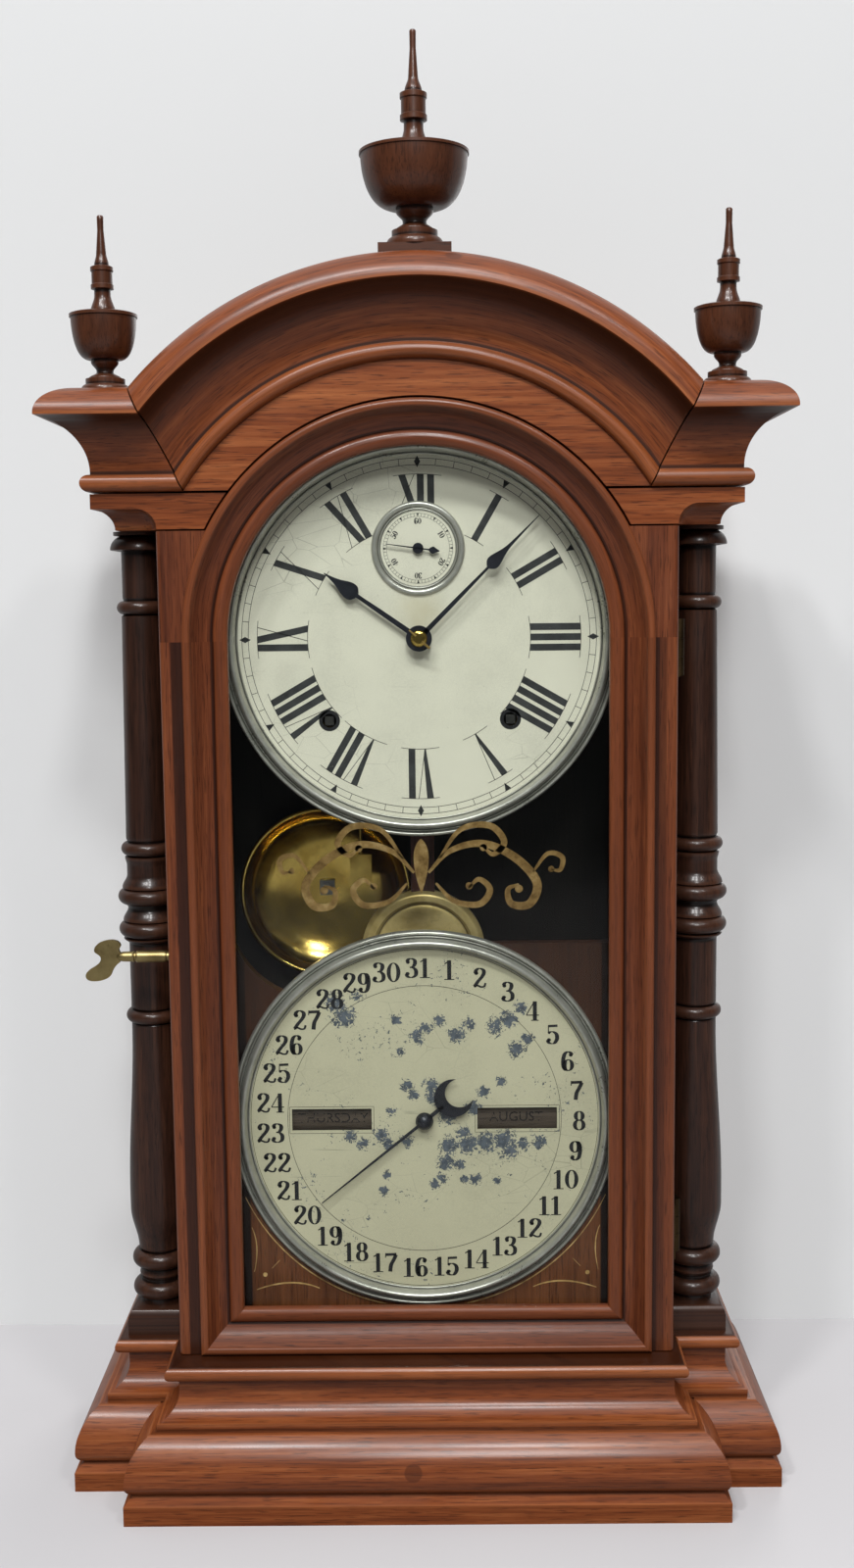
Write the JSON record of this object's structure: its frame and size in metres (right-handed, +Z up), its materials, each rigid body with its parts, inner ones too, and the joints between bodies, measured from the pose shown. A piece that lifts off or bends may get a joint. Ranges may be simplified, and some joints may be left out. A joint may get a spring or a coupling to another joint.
{
  "type": "double dial calendar clock",
  "caption": "Walnut shelf clock with an arched glazed door, turned columns and finials, a time dial with seconds above a perpetual calendar dial, and a swinging pendulum.",
  "frame": {"origin": "on the table under the middle of the base's outline", "axes": "+Z up, +X to the right as the dials are read, -Y towards the reader"},
  "size_m": [0.403, 0.1616, 0.8114],
  "materials": {
    "walnut": "polished",
    "dark_walnut": "polished",
    "black_stain": "matt stain",
    "brown_board": "satin",
    "cream_enamel": "aged gloss",
    "nickel": "worn polish",
    "brass": "aged polish",
    "steel": "dull",
    "black_steel": "blued",
    "brown_paper": "matt paper cover",
    "rod_wood": "satin",
    "glass": "clear"
  },
  "bodies": {
    "case": {"base_front_block": "walnut", "base_wing_left": "walnut", "base_wing_right": "walnut", "column_left": "dark_walnut", "column_right": "dark_walnut", "case_side_left": "walnut", "case_side_right": "walnut", "back_board": "black_stain", "roof_board": "black_stain", "frieze_left": "walnut", "frieze_right": "walnut", "arch_panel": "walnut", "cornice_arch": "walnut", "cornice_wing_left": "walnut", "cornice_wing_right": "walnut", "top_finial": "walnut", "side_finial_left": "walnut", "side_finial_right": "walnut", "calendar_board": "brown_board", "calendar_dial": "cream_enamel", "calendar_bezel": "nickel", "calendar_frame": "brass", "time_dial": "cream_enamel", "time_bezel": "nickel", "seconds_bezel": "nickel", "front_plate": "brass", "back_plate": "brass", "movement_pillars": "brass", "bell": "brass", "bell_post": "steel", "case_hinge_leaves": "brass", "latch_keeper": "steel"},
    "door": {"door_stile_left": "walnut", "door_stile_right": "walnut", "door_arch": "walnut", "door_bottom_rail": "walnut", "door_glass": "glass", "door_hinge_leaves": "brass"},
    "latch": {"latch_key": "brass"},
    "minute": {"minute_hand": "black_steel", "centre_arbor": "brass"},
    "hour": {"hour_hand": "black_steel", "hour_wheel": "brass"},
    "minute_wheel": {"minute_wheel": "brass"},
    "escape": {"seconds_hand": "black_steel", "escape_wheel": "brass"},
    "third": {"third_wheel": "brass"},
    "centre": {"centre_wheel": "brass"},
    "second": {"second_wheel": "brass"},
    "great": {"time_great_wheel": "brass"},
    "time_winder": {"time_arbor": "steel"},
    "strike_winder": {"strike_arbor": "steel"},
    "hammer": {"hammer": "brass"},
    "pendulum": {"pendulum_rod": "rod_wood", "pendulum_bob": "brass", "rating_nut": "brass"},
    "verge": {"verge": "steel"},
    "date": {"date_hand": "black_steel"},
    "weekday": {"day_roller": "brown_paper"},
    "month": {"month_roller": "brown_paper"}
  },
  "joints": [
    {"name": "door_swing", "type": "hinge", "parent": "case", "child": "door", "pos_m": [0.1429, -0.02525, 0.3], "axis": [0, 0, 1], "range_deg": [0, 100]},
    {"name": "latch_turn", "type": "hinge", "parent": "door", "child": "latch", "pos_m": [-0.14, -0.03225, 0.3087], "axis": [1, 0, 0], "range_deg": [0, 60]},
    {"name": "minute_turn", "type": "hinge", "parent": "case", "child": "minute", "pos_m": [0, 0.00075, 0.483], "axis": [0, 1, 0], "continuous": true},
    {"name": "hour_turn", "type": "hinge", "parent": "case", "child": "hour", "pos_m": [0, 0.00075, 0.483], "axis": [0, 1, 0], "continuous": true},
    {"name": "minute_wheel_turn", "type": "hinge", "parent": "case", "child": "minute_wheel", "pos_m": [0, 0.00075, 0.465], "axis": [0, 1, 0], "continuous": true},
    {"name": "escape_turn", "type": "hinge", "parent": "case", "child": "escape", "pos_m": [0, 0.00075, 0.5325], "axis": [0, 1, 0], "continuous": true},
    {"name": "third_turn", "type": "hinge", "parent": "case", "child": "third", "pos_m": [0.00885, 0.00075, 0.51041], "axis": [0, 1, 0], "continuous": true},
    {"name": "centre_turn", "type": "hinge", "parent": "case", "child": "centre", "pos_m": [0, 0.00075, 0.483], "axis": [0, 1, 0], "continuous": true},
    {"name": "second_turn", "type": "hinge", "parent": "case", "child": "second", "pos_m": [0.02164, 0.00075, 0.45889], "axis": [0, 1, 0], "continuous": true},
    {"name": "great_turn", "type": "hinge", "parent": "case", "child": "great", "pos_m": [0.0506, 0.00075, 0.4375], "axis": [0, 1, 0], "continuous": true},
    {"name": "time_winding", "type": "hinge", "parent": "case", "child": "time_winder", "pos_m": [0.0506, 0.00075, 0.4375], "axis": [0, 1, 0], "continuous": true},
    {"name": "strike_winding", "type": "hinge", "parent": "case", "child": "strike_winder", "pos_m": [-0.0506, 0.00075, 0.4375], "axis": [0, 1, 0], "continuous": true},
    {"name": "hammer_swing", "type": "hinge", "parent": "case", "child": "hammer", "pos_m": [-0.038, 0.00075, 0.493], "axis": [0, 1, 0], "range_deg": [-5, 0], "stiffness_Nm_per_rad": 0.02, "springref_deg": 11.46},
    {"name": "pendulum_swing", "type": "hinge", "parent": "case", "child": "pendulum", "pos_m": [0, 0.00075, 0.556], "axis": [0, 1, 0], "range_deg": [-3.5, 3.5]},
    {"name": "verge_rock", "type": "hinge", "parent": "case", "child": "verge", "pos_m": [0, 0.00075, 0.556], "axis": [0, 1, 0], "range_deg": [-3.5, 3.5]},
    {"name": "date_turn", "type": "hinge", "parent": "case", "child": "date", "pos_m": [0, 0.00075, 0.206], "axis": [0, 1, 0], "continuous": true},
    {"name": "weekday_turn", "type": "hinge", "parent": "case", "child": "weekday", "pos_m": [-0.054, 0.00825, 0.206], "axis": [1, 0, 0], "continuous": true},
    {"name": "month_turn", "type": "hinge", "parent": "case", "child": "month", "pos_m": [0.054, 0.01825, 0.206], "axis": [1, 0, 0], "continuous": true}
  ],
  "couplings": [
    {"joint": "minute_wheel_turn", "follows": "minute_turn", "ratio": -0.33333},
    {"joint": "hour_turn", "follows": "minute_turn", "ratio": 0.083333},
    {"joint": "third_turn", "follows": "escape_turn", "ratio": -0.13333},
    {"joint": "centre_turn", "follows": "escape_turn", "ratio": 0.016667},
    {"joint": "second_turn", "follows": "escape_turn", "ratio": -0.0020833},
    {"joint": "great_turn", "follows": "escape_turn", "ratio": 0.00023148},
    {"joint": "verge_rock", "follows": "pendulum_swing", "ratio": 1},
    {"joint": "weekday_turn", "follows": "date_turn", "ratio": 4.4286},
    {"joint": "month_turn", "follows": "date_turn", "ratio": 0.083333}
  ]
}
